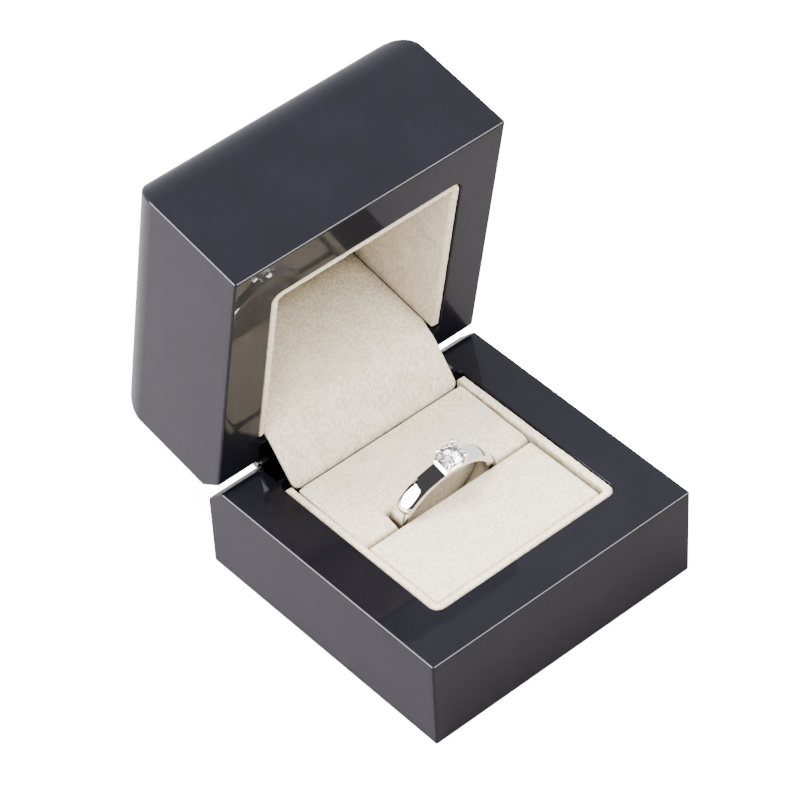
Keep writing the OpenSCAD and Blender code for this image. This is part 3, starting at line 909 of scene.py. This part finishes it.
outer_arc = 2.6 * band_half
dome = math.asin(band_half / outer_arc)
dome_steps = 12
section = []
for i in range(dome_steps + 1):
    a = -dome + 2 * dome * i / dome_steps
    section.append((ring_r - outer_arc + outer_arc * math.cos(a), outer_arc * math.sin(a)))
inside_r = ring_r - band_t
eased = ((0.25 * mm, band_half), (0.07 * mm, band_half - 0.15 * mm), (0, 0.6 * mm))
section += [(inside_r + rise, y) for rise, y in eased]
section += [(inside_r + rise, -y) for rise, y in reversed(eased)]
bm = bmesh.new()
loop = [bm.verts.new((0, y, r)) for r, y in section]
sides = [bm.edges.new((loop[i - 1], loop[i])) for i in range(len(loop))]
bmesh.ops.spin(
    bm, geom=loop + sides, axis=(0, 1, 0), cent=(0, 0, 0), angle=2 * math.pi, steps=180,
    use_merge=True)
bmesh.ops.remove_doubles(bm, verts=bm.verts, dist=0.001 * mm)
for v in bm.verts:
    for sign in (-1, 1):
        across = Vector((sign * math.sin(shoulder_turn), 0, math.cos(shoulder_turn)))
        over = v.co.dot(across) - (ring_r - shoulder_cut)
        if over > 0 and v.co.x * sign > 0:
            v.co -= across * over
    if abs(v.co.x) < setting_half + seat_margin and v.co.z > seat_z:
        v.co.z = seat_z
bmesh.ops.recalc_face_normals(bm, faces=bm.faces)
bmesh.ops.transform(bm, matrix=seated, verts=bm.verts)
band = linked("band", bm)
finished(band, white_gold, "ring", "white_gold", "ring_band")

# ---- Ring: setting ----
# A square collar and gallery soldered on the band, with four prongs whose
# rounded tips are pushed over the stone's edge.
gallery_h = 1.5 * mm
gallery_foot = 1.85 * mm
gallery_wall = 0.55 * mm
gallery_arris = 0.1 * mm
collar_x = 2.3 * mm
collar_y = 1.75 * mm
collar_h = 0.8 * mm
collar_chamfer = 0.32 * mm
collar_sunk = 0.3 * mm
prong_r = 0.36 * mm
bead_r = 0.45 * mm
prong_x = 1.83 * mm
bead_x = prong_x - 0.1 * mm
prong_top = ring_r + 2.8 * mm

bm = bmesh.new()
bmesh.ops.create_grid(
    bm, x_segments=1, y_segments=1, size=gallery_foot,
    matrix=Matrix.Translation((0, 0, seat_z + 0.05 * mm)))
bmesh.ops.inset_region(bm, faces=bm.faces, thickness=gallery_wall)
inner = min(bm.faces, key=lambda f: f.calc_center_median().to_2d().length)
bmesh.ops.delete(bm, geom=[inner], context="FACES_ONLY")
raised = extruded(bm, list(bm.faces), (0, 0, gallery_h), keep=True)
flare = setting_half / gallery_foot
bmesh.ops.scale(bm, verts=raised, vec=(flare, flare, 1))
bmesh.ops.recalc_face_normals(bm, faces=bm.faces)
bevel(bm, sharp_edges(bm, 50), gallery_arris, 3)
collar_z = seat_z + collar_h / 2 - collar_sunk
made = block(bm, (2 * collar_x, 2 * collar_y, collar_h), (0, 0, collar_z))
upper = [
    e for v in made["verts"] for e in v.link_edges
    if all(w.co.z > seat_z for w in e.verts)]
bevel(bm, list(set(upper)), collar_chamfer, 1)
for sx in (-1, 1):
    for sy in (-1, 1):
        low = seat_z + gallery_h / 3
        shaft = Matrix.Translation((sx * prong_x, sy * prong_x, (low + prong_top) / 2))
        below_tip = Matrix.Translation((0, 0, -prong_r / 2))
        bmesh.ops.create_cone(
            bm, cap_ends=True, segments=20, radius1=prong_r * 0.95, radius2=prong_r * 0.85,
            depth=prong_top - low - prong_r, matrix=shaft @ below_tip)
        tip = Matrix.Translation((sx * bead_x, sy * bead_x, prong_top - bead_r))
        bmesh.ops.create_uvsphere(bm, u_segments=20, v_segments=12, radius=bead_r, matrix=tip)
bmesh.ops.transform(bm, matrix=seated, verts=bm.verts)
setting = linked("setting", bm)
finished(setting, white_gold, "ring", "white_gold", "ring_head")

# ---- Ring: stone ----
# A round brilliant: flat table, kite and star facets above the girdle, and a
# steep faceted pavilion that ends in a point.
stone_r = 2.12 * mm
girdle_z = ring_r + 2.05 * mm
girdle_half = 0.03 * mm
crown_h = 0.62 * mm
pavilion_h = 1.85 * mm
stone = principled(
    "cut_stone", Base_Color=(0.72, 0.74, 0.79, 1), Roughness=0.0, IOR=2.2,
    Transmission_Weight=1.0)[0]
# Corners in each ring, its turn in steps, its share of the radius and its height.
facet_rings = (
    (8, 0.0, 0.54, crown_h), (8, 0.5, 0.76, crown_h * 0.58), (16, 0.0, 1.0, girdle_half),
    (16, 0.0, 1.0, -girdle_half), (8, 0.0, 0.55, -pavilion_h * 0.44))
bm = bmesh.new()
for count, offset, reach, z in facet_rings:
    for i in range(count):
        a = 2 * math.pi * (i + offset) / count
        bm.verts.new((stone_r * reach * math.cos(a), stone_r * reach * math.sin(a), girdle_z + z))
bm.verts.new((0, 0, girdle_z - pavilion_h))
bmesh.ops.convex_hull(bm, input=bm.verts)
bmesh.ops.transform(bm, matrix=seated, verts=bm.verts)
gem = linked("stone", bm)
gem.data.materials.append(stone)
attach(gem, "ring")
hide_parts("ring_stone")
